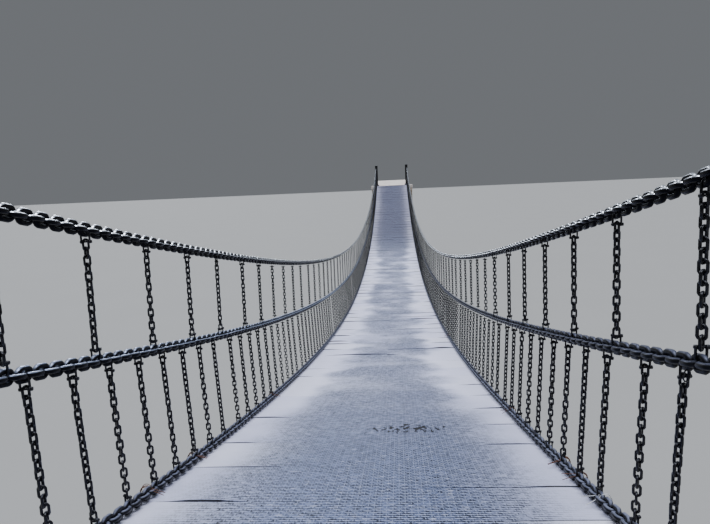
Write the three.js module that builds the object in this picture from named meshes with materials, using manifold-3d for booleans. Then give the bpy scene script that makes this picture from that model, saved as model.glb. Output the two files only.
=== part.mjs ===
// A chain suspension footbridge: a sagging deck of steel plates on cross bearers, carried by chains
// under it and along its edges, between two masonry abutments. On each side a mid chain and a top
// chain serve as handrails, held to the edge chain and to each other by thin hanger chains.
// Millimetres, +Z up, +Y along the bridge. The origin is at ground level under mid-span.
import * as THREE from "three";
import { mergeVertices } from "three/addons/utils/BufferGeometryUtils.js";
import Module from "manifold-3d";

const wasm = await Module();
wasm.setup();

// Driving dimensions
const GAP = 0.3; // between pieces that touch
const HALF_SPAN = 18200; // mid-span to the end of the deck
const SEGMENTS = 36; // straight lengths that stand for each sagging curve
const DECK_LOW = 1350; // top of the deck at mid-span, above the ground at the abutments
const DECK_SAG = 2525;
const MID_RISE = 701; // mid chain above the deck at mid-span
const MID_SAG = 2405;
const TOP_RISE = 1314; // top chain above the deck at mid-span
const TOP_SAG = 2213;

const DECK_WIDTH = 1860;
const PLATE_THICKNESS = 8;
const DECK_SECTIONS = 12;
const BEARERS_PER_SECTION = 6;
const BEARER_WIDTH = 140; // a channel laid with its web up
const BEARER_DEPTH = 60;
const BEARER_SHIFT = -90; // of each bearer from the middle of its share of the section

const CHAIN_WIDTH = 54; // outside width of the heavy chain's links
const RAIL_OFFSET = 925; // plane of the mid and top chains, from the centre line
const EDGE_OFFSET = 900; // plane of the edge chains, which lie on the plates' ends
const LOAD_CHAIN_WIDTH = 70;
const LOAD_CHAIN_OFFSETS = [-800, -400, 0, 400, 800];
const HANGER_WIDTH = 30; // outside width of the hanger chain's links
const UPPER_PITCH = 500;
const LOWER_PITCH = 250;
// The hangers of the two sides do not stand exactly opposite each other.
const SIDES = [
  { name: "left", sign: -1, upperShift: 50, lowerShift: 0 },
  { name: "right", sign: 1, upperShift: 120, lowerShift: 50 },
];
const HANGER_REACH = 18050; // the last hanger stands this far from mid-span at most

const ABUTMENT_LENGTH = 1500;
const ABUTMENT_WIDTH = 2440;
const LANDING_WIDTH = 2500;
const LANDING_THICKNESS = 180;
const RAMP_START = 420; // past the end of the deck and the posts' feet
const RAMP_RISE = 300;
const RAMP_SINK = 20; // of the ramp's foot in the slab that it is cast on
const ANCHOR_BEAM_WIDTH = 1960;
const ANCHOR_BEAM_LENGTH = 80;
const ANCHOR_BEAM_DEPTH = 210;

const POST_OFFSET = 900;
const POST_SETBACK = 195; // centre of the post behind the end of the deck
const POST_SIZE = 150;
const POST_HEIGHT = 1230;
const POST_CAP = { size: 176, thickness: 16, rise: 34 };
const POST_BASE = { size: 260, thickness: 12 };

// Heights and ends worked out from them
const SEGMENT = (2 * HALF_SPAN) / SEGMENTS;
const DECK_END = DECK_LOW + DECK_SAG;
const CHAIN_END = HALF_SPAN + POST_SETBACK - POST_SIZE / 2 - GAP;
const ENDS = [
  { name: "near", sign: -1 },
  { name: "far", sign: 1 },
];

const steel = { roughness: 0.45, metalness: 0.8 };
const MATERIALS = {
  plate: new THREE.MeshStandardMaterial({ color: 0x969db2, ...steel }),
  bearer: new THREE.MeshStandardMaterial({ color: 0x4a3f38, roughness: 0.7, metalness: 0.5 }),
  chain: new THREE.MeshStandardMaterial({ color: 0x17181b, ...steel }),
  post: new THREE.MeshStandardMaterial({ color: 0x141518, roughness: 0.4, metalness: 0.6 }),
  masonry: new THREE.MeshStandardMaterial({ color: 0x8a7666, roughness: 0.95, metalness: 0 }),
  concrete: new THREE.MeshStandardMaterial({ color: 0xcabdb2, roughness: 0.9, metalness: 0 }),
};

const bridge = new THREE.Group();

// A curve that sags by sag between the ends of the deck, as straight lengths between equal steps.
// Past the ends of the deck the last length runs straight on.
function sagging(low, sag) {
  const onCurve = (y) => low + sag * (y / HALF_SPAN) ** 2;
  return (y) => {
    const step = Math.floor((y + HALF_SPAN) / SEGMENT);
    const start = -HALF_SPAN + Math.min(Math.max(step, 0), SEGMENTS - 1) * SEGMENT;
    const share = (y - start) / SEGMENT;
    return onCurve(start) * (1 - share) + onCurve(start + SEGMENT) * share;
  };
}

const deckTop = sagging(DECK_LOW, DECK_SAG);
const plateBottom = (y) => deckTop(y) - PLATE_THICKNESS;
const bearerBottom = (y) => plateBottom(y) - BEARER_DEPTH;
const loadChainTop = (y) => bearerBottom(y) - GAP;
const edgeChainTop = (y) => deckTop(y) + GAP + CHAIN_WIDTH;
const midChainCentre = sagging(DECK_LOW + MID_RISE, MID_SAG);
const midChainTop = (y) => midChainCentre(y) + CHAIN_WIDTH / 2;
const topChainCentre = sagging(DECK_LOW + TOP_RISE, TOP_SAG);

// The steps of the curve between two places, with both of them.
function stepsBetween(from, to) {
  const inner = [];
  for (let i = 0; i <= SEGMENTS; i++) {
    const y = -HALF_SPAN + i * SEGMENT;
    if (Math.abs(y) < HALF_SPAN - 1 && y > from + 1 && y < to - 1) inner.push(y);
  }
  return [from, ...inner, to];
}

// An outline in the bridge's length and height, extruded across the bridge about its own middle.
function acrossBridge(outline, width) {
  const shape = new THREE.Shape(outline.map(([y, z]) => new THREE.Vector2(y, z)));
  const geometry = new THREE.ExtrudeGeometry(shape, { depth: width, bevelEnabled: false });
  geometry.translate(0, 0, -width / 2);
  // length, height, width of the extrusion become Y, Z and X
  const turn = new THREE.Matrix4().makeBasis(
    new THREE.Vector3(0, 1, 0),
    new THREE.Vector3(0, 0, 1),
    new THREE.Vector3(1, 0, 0),
  );
  return geometry.applyMatrix4(turn);
}

// An outline drawn for the far end, extruded across the bridge, and mirrored for the near end.
function atEnd(outline, width, sign) {
  const mirrored = outline.map(([y, z]) => [-y, z]).reverse();
  return acrossBridge(sign > 0 ? outline : mirrored, width);
}

// A strip that follows a curve: its top is the curve, its depth is measured straight down.
function strip(top, depth, width, from, to) {
  const along = stepsBetween(from, to);
  const bottomSide = along.map((y) => [y, top(y) - depth]);
  const topSide = along.map((y) => [y, top(y)]).reverse();
  return acrossBridge([...bottomSide, ...topSide], width);
}

function solidOf(geometry) {
  const bare = geometry.clone();
  bare.deleteAttribute("normal");
  bare.deleteAttribute("uv");
  const merged = mergeVertices(bare, 1e-3);
  return new wasm.Manifold(
    new wasm.Mesh({
      numProp: 3,
      vertProperties: merged.getAttribute("position").array,
      triVerts: new Uint32Array(merged.index.array),
    }),
  );
}

// Joins overlapping closed geometries into one.
function fused(geometries) {
  const whole = geometries.map(solidOf).reduce((a, b) => a.add(b));
  const mesh = whole.getMesh();
  const geometry = new THREE.BufferGeometry();
  geometry.setAttribute("position", new THREE.BufferAttribute(mesh.vertProperties, 3));
  geometry.setIndex(new THREE.BufferAttribute(mesh.triVerts, 1));
  return geometry;
}

function addPiece(name, geometry, material, position = [0, 0, 0]) {
  const mesh = new THREE.Mesh(geometry, material);
  mesh.name = name;
  mesh.position.set(...position);
  bridge.add(mesh);
}

// A chain with the hangers that hang from it, each down to the top of the chain below.
function chainWithHangers(centre, below, pitch, shift) {
  const top = (y) => centre(y) + CHAIN_WIDTH / 2;
  const pieces = [strip(top, CHAIN_WIDTH, CHAIN_WIDTH, -CHAIN_END, CHAIN_END)];
  const half = HANGER_WIDTH / 2;
  const count = Math.ceil(HANGER_REACH / pitch);
  for (let i = -count; i < count; i++) {
    const y = (i + 0.5) * pitch + shift;
    if (Math.abs(y) > HANGER_REACH) continue;
    const foot = Math.max(below(y - half), below(y + half)) + GAP;
    const height = centre(y) - foot;
    const hanger = new THREE.BoxGeometry(HANGER_WIDTH, HANGER_WIDTH, height);
    pieces.push(hanger.translate(0, y, foot + height / 2));
  }
  return fused(pieces);
}

function addSideChains({ name, sign, upperShift, lowerShift }) {
  const place = [sign * RAIL_OFFSET, 0, 0];
  const edge = strip(edgeChainTop, CHAIN_WIDTH, CHAIN_WIDTH, -CHAIN_END, CHAIN_END);
  addPiece(name + "_edge_chain", edge, MATERIALS.chain, [sign * EDGE_OFFSET, 0, 0]);
  const lower = chainWithHangers(midChainCentre, edgeChainTop, LOWER_PITCH, lowerShift);
  addPiece(name + "_mid_chain_and_hangers", lower, MATERIALS.chain, place);
  const upper = chainWithHangers(topChainCentre, midChainTop, UPPER_PITCH, upperShift);
  addPiece(name + "_top_chain_and_hangers", upper, MATERIALS.chain, place);
}

// A length of deck: its plates, with the bearers that they are fixed to.
function deckSection(index) {
  const length = (2 * HALF_SPAN) / DECK_SECTIONS;
  const start = -HALF_SPAN + index * length;
  const from = start + GAP / 2;
  const to = start + length - GAP / 2;
  const bearerPitch = length / BEARERS_PER_SECTION;
  const underside = [[from, plateBottom(from)]];
  for (let i = 0; i < BEARERS_PER_SECTION; i++) {
    const middle = start + (i + 0.5) * bearerPitch + BEARER_SHIFT;
    const back = middle - BEARER_WIDTH / 2;
    const front = middle + BEARER_WIDTH / 2;
    underside.push([back, plateBottom(back)], [back, bearerBottom(back)]);
    underside.push([front, bearerBottom(front)], [front, plateBottom(front)]);
    const next = start + (i + 1) * bearerPitch;
    const onStep = Math.abs(((next + HALF_SPAN) / SEGMENT) % 1) < 1e-6;
    if (onStep && i < BEARERS_PER_SECTION - 1) underside.push([next, plateBottom(next)]);
  }
  underside.push([to, plateBottom(to)]);
  const topSide = stepsBetween(from, to)
    .map((y) => [y, deckTop(y)])
    .reverse();
  return acrossBridge([...underside, ...topSide], DECK_WIDTH);
}

function addDeck() {
  for (let i = 0; i < DECK_SECTIONS; i++) {
    const number = String(i + 1).padStart(2, "0");
    addPiece("deck_section_" + number, deckSection(i), MATERIALS.plate);
  }
  const reach = HALF_SPAN - GAP / 2 - ANCHOR_BEAM_LENGTH - GAP;
  LOAD_CHAIN_OFFSETS.forEach((x, i) => {
    const chain = strip(loadChainTop, LOAD_CHAIN_WIDTH, LOAD_CHAIN_WIDTH, -reach, reach);
    addPiece("load_chain_" + (i + 1), chain, MATERIALS.chain, [x, 0, 0]);
  });
}

// A square post on its base plate, with a low pointed cap, turned about its own axis.
function postGeometry() {
  const corner = (size) => size / Math.SQRT2;
  const capBottom = POST_HEIGHT - POST_CAP.rise - POST_CAP.thickness;
  const profile = [
    [0, 0],
    [corner(POST_BASE.size), 0],
    [corner(POST_BASE.size), POST_BASE.thickness],
    [corner(POST_SIZE), POST_BASE.thickness],
    [corner(POST_SIZE), capBottom],
    [corner(POST_CAP.size), capBottom],
    [corner(POST_CAP.size), capBottom + POST_CAP.thickness],
    [0, POST_HEIGHT],
  ];
  const points = profile.map(([r, z]) => new THREE.Vector2(r, z));
  const post = new THREE.LatheGeometry(points, 4);
  post.rotateX(Math.PI / 2);
  return post.rotateZ(Math.PI / 4);
}

function addAbutment({ name, sign }) {
  const face = HALF_SPAN + GAP / 2;
  const middle = face + ABUTMENT_LENGTH / 2;
  const wallHeight = DECK_END - LANDING_THICKNESS - GAP;
  const wall = new THREE.BoxGeometry(ABUTMENT_WIDTH, ABUTMENT_LENGTH, wallHeight);
  addPiece(name + "_abutment", wall, MATERIALS.masonry, [0, sign * middle, wallHeight / 2]);
  const slab = new THREE.BoxGeometry(LANDING_WIDTH, ABUTMENT_LENGTH, LANDING_THICKNESS);
  slab.translate(0, sign * middle, DECK_END - LANDING_THICKNESS / 2);
  const foot = HALF_SPAN + RAMP_START;
  const rampEnd = face + ABUTMENT_LENGTH;
  const rampOutline = [
    [foot, DECK_END - RAMP_SINK],
    [rampEnd, DECK_END - RAMP_SINK],
    [rampEnd, DECK_END + RAMP_RISE],
    [foot, DECK_END],
  ];
  const ramp = atEnd(rampOutline, DECK_WIDTH, sign);
  addPiece(name + "_landing", fused([slab, ramp]), MATERIALS.concrete);

  const back = HALF_SPAN - GAP / 2;
  const front = back - ANCHOR_BEAM_LENGTH;
  const seat = (y) => plateBottom(y) - GAP;
  const beamBottom = seat(back) - ANCHOR_BEAM_DEPTH;
  const outline = [
    [front, beamBottom],
    [back, beamBottom],
    [back, seat(back)],
    [front, seat(front)],
  ];
  const beam = atEnd(outline, ANCHOR_BEAM_WIDTH, sign);
  addPiece(name + "_anchor_beam", beam, MATERIALS.bearer);

  SIDES.forEach((side) => {
    const place = [side.sign * POST_OFFSET, sign * (HALF_SPAN + POST_SETBACK), DECK_END + GAP];
    addPiece(name + "_" + side.name + "_post", postGeometry(), MATERIALS.post, place);
  });
}

ENDS.forEach(addAbutment);
addDeck();
SIDES.forEach(addSideChains);

export default bridge;
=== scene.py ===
"""A chain suspension footbridge, link by link and stone by stone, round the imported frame. Metres, +Z up,
+Y along the bridge, origin under mid-span."""
import math
import random

import bpy
import numpy as np
from mathutils import Matrix, Vector


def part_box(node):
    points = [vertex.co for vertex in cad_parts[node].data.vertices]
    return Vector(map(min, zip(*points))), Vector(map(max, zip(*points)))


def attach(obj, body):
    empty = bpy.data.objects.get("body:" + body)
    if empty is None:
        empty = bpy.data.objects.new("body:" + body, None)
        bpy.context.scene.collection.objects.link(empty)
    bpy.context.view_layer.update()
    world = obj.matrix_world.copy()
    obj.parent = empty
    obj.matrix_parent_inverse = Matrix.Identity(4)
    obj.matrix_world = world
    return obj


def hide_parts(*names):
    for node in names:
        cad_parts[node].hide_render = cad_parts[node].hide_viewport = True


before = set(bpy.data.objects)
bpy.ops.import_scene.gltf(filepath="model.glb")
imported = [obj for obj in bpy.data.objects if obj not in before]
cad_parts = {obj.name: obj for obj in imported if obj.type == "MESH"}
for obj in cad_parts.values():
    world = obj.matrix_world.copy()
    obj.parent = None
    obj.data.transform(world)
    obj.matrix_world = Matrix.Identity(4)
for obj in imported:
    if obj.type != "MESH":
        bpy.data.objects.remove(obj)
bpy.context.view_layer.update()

# The bridge's curves: a height at mid-span and the sag up to the ends of the deck.
HALF_SPAN = 18.2
DECK_LOW, DECK_SAG = 1.35, 2.525
MID_RISE, MID_SAG = 0.701, 2.405
TOP_RISE, TOP_SAG = 1.314, 2.213
DECK_END = DECK_LOW + DECK_SAG
RAIL_OFFSET, EDGE_OFFSET = 0.925, 0.900
LOAD_OFFSETS = (-0.8, -0.4, 0.0, 0.4, 0.8)
POST_FACE = 18.32  # the side chains end in lugs on the posts' faces
BEAM_FACE = 18.12  # the load chains end in lugs on the anchor beams' faces
LUG = {"bar": 0.016, "reach": 0.043}

# Short-link chains: wire diameter, inside length of a link, outside width.
HEAVY = {"wire": 0.018, "pitch": 0.041, "width": 0.054}
LOAD = {"wire": 0.020, "pitch": 0.060, "width": 0.070}
THIN = {"wire": 0.0095, "pitch": 0.028, "width": 0.030}

# Hangers: pitch along the bridge, and the shift of each side's rows from mid-span.
UPPER_PITCH = 0.5
LOWER_PITCH = 0.25
HANGER_REACH = 18.05
SIDES = {
    "left": {"sign": -1, "upper": 0.05, "lower": 0.0, "edge_roll": -3, "mid_roll": 0},
    "right": {"sign": 1, "upper": 0.12, "lower": 0.05, "edge_roll": 13, "mid_roll": -12},
}
LINK_ROLL = 5.0  # degrees that a link may lie off its neighbours
LINK_TWIST, TWIST_LENGTH = 6.0, 1.7  # slow twist of a whole chain: degrees, and metres for a radian

# Deck: two rows of plates with their seams near the bearers, which are channels with the web up.
PLATE = 0.006
SOLID_PLATE = 0.008  # the CAD deck's
PLATE_DROP = 0.003
DECK_HALF_WIDTH = 0.93
CENTRE_GAP = 0.0006
SEAM_GAP = 0.0012
SEAM_SCATTER = 0.015
PROUD_FROM = -9.5  # beyond here more of the plates stand up at a corner or all along
BEARER = {"width": 0.140, "depth": 0.060, "wall": 0.007}
BEARER_COUNT = 72
BEARER_PITCH = 2 * HALF_SPAN / BEARER_COUNT
BEARER_SHIFT = -0.09
SEAM_SHIFT = {"left": 0.0, "right": -0.10}

# Seams that the photograph shows apart from the rest, by side and number: moves along the bridge, and the
# stretches that stand up beyond a seam, each with its middle's distance from the deck's, half width and rise.
SEAM_MOVES = {
    "left": {9: 0.19, 19: -0.24, 20: -0.17},
    "right": {6: -0.10, 7: -0.23, 23: 0.21},
}
SEAM_LIFTS = {
    "left": (
        (5, 0.80, 0.16, 0.006), (6, 0.66, 0.16, 0.010), (7, 0.66, 0.26, 0.004),
        (8, 0.80, 0.14, 0.006), (9, 0.79, 0.16, 0.009), (13, 0.86, 0.12, 0.006),
        (16, 0.34, 0.44, 0.012), (19, 0.80, 0.20, 0.014), (20, 0.80, 0.20, 0.014),
    ),
    "right": (
        (6, 0.80, 0.30, 0.003), (7, 0.80, 0.16, 0.007), (7, 0.45, 0.30, 0.002),
        (8, 0.77, 0.17, 0.006), (9, 0.82, 0.14, 0.004), (12, 0.84, 0.14, 0.006),
        (16, 0.0, 0.16, 0.010), (23, 0.63, 0.28, 0.015),
    ),
}
PALE_PLATE = ("right", 6)

# Abutments, landings, posts and anchor beams.
ENDS = {"near": -1, "far": 1}
ABUTMENT = {"width": 2.44, "length": 1.5}
END_MIDDLE = HALF_SPAN + ABUTMENT["length"] / 2
LANDING = {"width": 2.5, "thickness": 0.18}
RAMP = {"width": 1.86, "start": 0.42, "rise": 0.3, "sink": 0.02}
WALL_TOP = DECK_END - LANDING["thickness"]
COURSE_HEIGHTS = (0.17, 0.26)
STONE_LENGTHS = (0.22, 0.46)
CORNER_STONE = (0.40, 0.24)
STONE_DEPTH = 0.12
STONE_INSET = 0.006
MORTAR = 0.014
POST = {"offset": 0.9, "setback": 0.195, "size": 0.15, "height": 1.23}
POST_CAP = {"size": 0.176, "thickness": 0.016, "rise": 0.034}
POST_BASE = {"size": 0.26, "thickness": 0.012}
POST_RIB = {"thickness": 0.008, "width": 0.045, "height": 0.09}
ANCHOR_BEAM = {"width": 1.96, "length": 0.08, "depth": 0.21, "web": 0.05, "flange": 0.012}

# Detail falls with the distance from the photographed near end: up to each place along the bridge, the
# sides round a link and round its wire.
HEAVY_STEPS = ((-16.3, (8, 5)), (-13.4, (16, 8)), (-9.2, (12, 5)), (2.0, (8, 3)), (19.0, (4, 3)))
LOAD_STEPS = ((-9.0, (8, 3)), (19.0, (4, 3)))
THIN_STEPS = ((-16.2, (8, 3)), (-14.2, (12, 6)), (-12.6, (8, 5)), (-8.0, (8, 3)), (19.0, (4, 3)))

random.seed(7)


def sag_line(low, sag):
    return lambda y: low + sag * (y / HALF_SPAN) ** 2


deck_top = sag_line(DECK_LOW, DECK_SAG)
edge_centre = sag_line(DECK_LOW + HEAVY["width"] / 2, DECK_SAG)
mid_centre = sag_line(DECK_LOW + MID_RISE, MID_SAG)
top_centre = sag_line(DECK_LOW + TOP_RISE, TOP_SAG)
RAILS = {
    "edge": (EDGE_OFFSET, edge_centre),
    "mid": (RAIL_OFFSET, mid_centre),
    "top": (RAIL_OFFSET, top_centre),
}
load_centre = sag_line(DECK_LOW - SOLID_PLATE - BEARER["depth"] - LOAD["width"] / 2, DECK_SAG)


# Modelling steps


def select_only(*objects):
    bpy.ops.object.select_all(action="DESELECT")
    for each in objects:
        each.select_set(True)
    bpy.context.view_layer.objects.active = objects[0]


def primitive(kind, name, **settings):
    bpy.ops.object.select_all(action="DESELECT")
    getattr(bpy.ops.mesh, "primitive_" + kind + "_add")(**settings)
    made = bpy.context.active_object
    made.name = made.data.name = name
    bpy.ops.object.transform_apply(location=True, rotation=True, scale=True)
    return made


def combined(steps):
    """Several moves as one. The last is done first."""
    whole = Matrix.Identity(4)
    for step in steps:
        whole = whole @ step
    return whole


def moved(piece, *steps):
    piece.data.transform(combined(steps))
    return piece


def shift(x, y, z):
    return Matrix.Translation((x, y, z))


def turn(degrees, axis):
    return Matrix.Rotation(math.radians(degrees), 4, axis)


def stretch(x, y, z):
    return Matrix.Diagonal((x, y, z, 1))


def modify(piece, kind, **settings):
    select_only(piece)
    step = piece.modifiers.new(kind, kind)
    for key, value in settings.items():
        setattr(step, key, value)
    bpy.ops.object.modifier_apply(modifier=step.name)
    return piece


def bevelled(piece, width, segments=2):
    return modify(piece, "BEVEL", width=width, segments=segments, limit_method="ANGLE")


def block(name, size, centre=(0, 0, 0), bevel=0.0):
    made = moved(primitive("cube", name, size=1), shift(*centre), stretch(*size))
    return bevelled(made, bevel) if bevel else made


def cylinder(name, sides, radius, depth, z=0.0):
    return moved(primitive("cylinder", name, vertices=sides, radius=radius, depth=depth), shift(0, 0, z))


def edit_where(piece, test, work):
    """Edit-mode work on the vertices that pass the test."""
    select_only(piece)
    bpy.ops.object.mode_set(mode="EDIT")
    bpy.ops.mesh.select_mode(type="VERT")
    bpy.ops.mesh.select_all(action="DESELECT")
    bpy.ops.object.mode_set(mode="OBJECT")
    for vertex in piece.data.vertices:
        vertex.select = test(vertex.co)
    bpy.ops.object.mode_set(mode="EDIT")
    work()
    bpy.ops.object.mode_set(mode="OBJECT")
    return piece


def pull_where(piece, test, x, y, z):
    return edit_where(piece, test, lambda: bpy.ops.transform.translate(value=(x, y, z)))


def cut_where(piece, test):
    return edit_where(piece, test, lambda: bpy.ops.mesh.delete(type="VERT"))


def coordinates(data):
    flat = np.empty(len(data.vertices) * 3, np.float32)
    data.vertices.foreach_get("co", flat)
    return flat.reshape(-1, 3)


def joined(name, pieces):
    select_only(*pieces)
    if len(pieces) > 1:
        bpy.ops.object.join()
    made = bpy.context.active_object
    made.name = made.data.name = name
    return made


def shape_of(piece):
    """The points and faces of a piece, which goes: copies are made from its shape."""
    data = piece.data
    points = coordinates(data)
    faces = [tuple(face.vertices) for face in data.polygons]
    bpy.data.objects.remove(piece)
    bpy.data.meshes.remove(data)
    return points, faces


def placed(shape, *steps):
    points, faces = shape
    whole = combined(steps)
    return points @ np.array(whole.to_3x3()).T + np.array(whole.translation), faces


def in_scene(name, data):
    made = bpy.data.objects.new(name, data)
    bpy.context.scene.collection.objects.link(made)
    return made


def piece_from(name, shapes, tones=None):
    """One piece of many shapes. Each may have a tone, which its faces keep."""
    points, faces, face_tones, count = [], [], [], 0
    for i, (own_points, own_faces) in enumerate(shapes):
        points.append(own_points)
        faces += [tuple(corner + count for corner in face) for face in own_faces]
        count += len(own_points)
        if tones:
            face_tones += [tones[i]] * len(own_faces)
    mesh = bpy.data.meshes.new(name)
    mesh.from_pydata(np.concatenate(points), [], faces)
    if tones:
        mesh.attributes.new("tone", "FLOAT", "FACE").data.foreach_set("value", face_tones)
    return in_scene(name, mesh)


def finished(piece, angle, material, slot, *nodes):
    """Ends a piece: smooth up to the angle, with its material, in place of the CAD nodes. The slot argument
    is not used.
    """
    if angle:
        select_only(piece)
        bpy.ops.object.shade_smooth_by_angle(angle=math.radians(angle))
    piece.data.materials.clear()
    piece.data.materials.append(material)
    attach(piece, "root")
    if nodes:
        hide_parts(*nodes)


# Materials


def rgb(red, green, blue):
    return (red, green, blue, 1.0)


class Finish:
    """A node material or, where inputs are named, a node group, built a step at a time."""

    def __init__(self, name, inputs=None):
        if inputs is None:
            self.material = bpy.data.materials.new(name)
            self.material.use_nodes = True
            self.tree = self.material.node_tree
            self.place = self.node("TexCoord").outputs["Object"]
        else:
            self.tree = bpy.data.node_groups.new(name, "ShaderNodeTree")
            sockets = {"Place": "NodeSocketVector", **{label: "NodeSocketFloat" for label in inputs}}
            for label, kind in sockets.items():
                self.tree.interface.new_socket(label, in_out="INPUT", socket_type=kind)
            self.inputs = self.tree.nodes.new("NodeGroupInput").outputs
            self.place = self.inputs["Place"]

    def node(self, kind, inputs=None, **settings):
        made = self.tree.nodes.new("ShaderNode" + kind)
        for key, value in settings.items():
            setattr(made, key, value)
        for key, value in (inputs or {}).items():
            self.feed(made.inputs[key], value)
        return made

    def feed(self, socket, value):
        if isinstance(value, bpy.types.NodeSocket):
            self.tree.links.new(value, socket)
        else:
            socket.default_value = value

    def axes(self, vector):
        return self.node("SeparateXYZ", {"Vector": vector}).outputs

    def facing(self):
        return self.axes(self.node("NewGeometry").outputs["Normal"])

    def face_tone(self):
        return self.node("Attribute", attribute_name="tone").outputs["Fac"]

    def noise(self, scale, detail=3.0, roughness=0.55, axes=None):
        """Noise at the object's coordinates, which may have a scale for each axis too."""
        place = self.place
        if axes:
            place = self.node("Mapping", {"Vector": place, "Scale": axes}).outputs[0]
        values = {"Vector": place, "Scale": scale, "Detail": detail, "Roughness": roughness}
        return self.node("TexNoise", values).outputs["Fac"]

    def math(self, operation, *values):
        made = self.node("Math", operation=operation)
        for socket, value in zip(made.inputs, values):
            self.feed(socket, value)
        return made.outputs[0]

    def times(self, product, *factors):
        for factor in factors:
            product = self.math("MULTIPLY", product, factor)
        return product

    def squares(self, first, second):
        return self.math("ADD", self.times(first, first), self.times(second, second))

    def ramp(self, value, low, high, to_low=0.0, to_high=1.0):
        made = self.node("MapRange", interpolation_type="SMOOTHSTEP")
        for socket, number in zip(made.inputs, (value, low, high, to_low, to_high)):
            self.feed(socket, number)
        return made.outputs[0]

    def mix(self, share, first, second):
        made = self.node("Mix", data_type="RGBA", clamp_result=True)
        for i, value in ((0, share), (6, first), (7, second)):
            self.feed(made.inputs[i], value)
        return made.outputs[2]

    def layers(self, color, *layers):
        """Colours laid over the first, each with its share."""
        for share, layer in layers:
            color = self.mix(share, color, layer)
        return color

    def use(self, group, **inputs):
        made = self.node("Group", node_tree=group.tree)
        for key, value in {"Place": self.place, **inputs}.items():
            self.feed(made.inputs[key], value)
        return made.outputs

    def results(self, **values):
        """Ends a node group."""
        for label in values:
            self.tree.interface.new_socket(label, in_out="OUTPUT", socket_type="NodeSocketFloat")
        end = self.tree.nodes.new("NodeGroupOutput")
        for label, value in values.items():
            self.feed(end.inputs[label], value)
        return self

    def surface(self, color, roughness, bumps=(), metallic=0.0, specular=0.5):
        """Ends a material. Each bump is a height, a strength and a distance, laid over the one before."""
        normal = {}
        for height, strength, distance in bumps:
            values = {"Height": height, "Strength": strength, "Distance": distance, **normal}
            normal = {"Normal": self.node("Bump", values).outputs[0]}
        values = {"Base Color": color, "Roughness": roughness, "Metallic": metallic, **normal}
        for key, value in {**values, "Specular IOR Level": specular}.items():
            self.feed(self.tree.nodes["Principled BSDF"].inputs[key], value)
        return self.material


def mottle_group():
    """Two sizes of noise, which every finish uses for its tone and its grain."""
    group = Finish("mottle", ("Large", "Small"))
    tone = group.noise(group.inputs["Large"], 4.0)
    return group.results(Tone=tone, Grain=group.noise(group.inputs["Small"], 2.0, 0.6))


def upward_group():
    """How much a face looks up, broken up by noise: where dust lies and paint wears."""
    group = Finish("upward wear", ("Start", "Full"))
    over = group.math("SUBTRACT", group.facing()["Z"], group.inputs["Start"])
    mask = group.times(group.math("MAXIMUM", over, 0.0), group.noise(30.0, 4.0, 0.6))
    return group.results(Mask=group.ramp(mask, 0.04, group.inputs["Full"]))


# The chequer plates' tread, each size given across and along the bridge: the pitch, half of a lozenge
# that lies across and of one that lies along, and how far aside of it and beyond it the grime and painted
# shade lie.
TREAD_PITCH = (0.048, 0.040)
TREAD_ACROSS = (0.0175, 0.0052)
TREAD_ALONG = (0.0034, 0.0080)
TREAD_SHADE = (0.0036, 0.0100)


def lozenges(group, place):
    """Staggered rows of bars with short bars between them: 1 inside each and less around it."""
    nearest = -9.0
    for offset in (0.0, 0.5):
        for half, aside in ((TREAD_ACROSS, 0.0), (TREAD_ALONG, 0.5)):
            shares = []
            for axis, pitch, size, more in zip(group.axes(place), TREAD_PITCH, half, (aside, 0.0)):
                cells = group.math("MULTIPLY_ADD", axis, 1 / pitch, offset + more)
                within = group.math("SUBTRACT", group.math("FRACT", cells), 0.5)
                shares.append(group.times(within, pitch / size))
            lens = group.math("SUBTRACT", 1.0, group.squares(*shares))
            nearest = group.math("MAXIMUM", nearest, lens)
    return nearest


def tread_group():
    """Chequer plate's raised lozenges, and the grime and painted shade against their far sides."""
    group = Finish("chequer tread", ())
    back = (-TREAD_SHADE[0], -TREAD_SHADE[1], 0)
    beyond = group.node("Mapping", {"Vector": group.place, "Location": back}).outputs[0]
    own = lozenges(group, group.place)
    # Painted shade with grime: a dark band on the far side of each lozenge.
    dirt_and_shade = group.ramp(lozenges(group, beyond), -0.9, 0.1)
    foot = group.times(dirt_and_shade, group.ramp(own, -0.3, 0.3, 1.0, 0.0))
    return group.results(Height=group.ramp(own, -0.1, 0.7), Foot=foot)


MOTTLE = mottle_group()
UPWARD = upward_group()
TREAD = tread_group()

# The deck's dust begins this far on either side of its worn middle and is full at the second value.
DUST_FROM, DUST_TO = 0.40, 1.06
MIDDLE_DUST_AND_SHEEN = 0.58  # share of dust and painted sheen on the worn middle of the span, less towards its ends
SOIL_MIDDLE = (0.20, -13.68)
SOIL_HALF = (0.36, 0.17)


def soil_mask(look):
    """Dark clods of soil inside a patch of the deck."""
    away = [
        look.math("MULTIPLY_ADD", axis, 1 / half, -middle / half)
        for axis, middle, half in zip(look.axes(look.place), SOIL_MIDDLE, SOIL_HALF)
    ]
    inside = look.ramp(look.squares(*away), 0.0, 1.3, 1.12, 0.5)
    return look.ramp(look.times(inside, look.noise(19.0, 3.0, 0.55, (2.2, 1.0, 1.0))), 0.555, 0.575)


def seam_grime_and_shade(look):
    """Dark lines along the far slope's seams, grime with painted shade, stronger at some than at others."""
    x, y, _ = look.axes(look.place)
    aside = look.ramp(x, -0.001, 0.001, 0.0, -SEAM_SHIFT["right"])
    along = look.math("ADD", y, aside)
    first = (HALF_SPAN - BEARER_SHIFT) / BEARER_PITCH
    cells = look.math("MULTIPLY_ADD", along, 1 / BEARER_PITCH, first)
    within = look.math("SUBTRACT", look.math("FRACT", cells), 0.5)
    line = look.ramp(look.math("ABSOLUTE", within), 0.04, 0.12, 1.0, 0.0)
    uneven = look.ramp(look.noise(1.0, 2.0, axes=(0.5, 1.3, 1.0)), 0.42, 0.56, 0.2, 1.0)
    return look.times(line, uneven, look.ramp(y, 1.0, 7.0, 0.0, 0.35))


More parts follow.
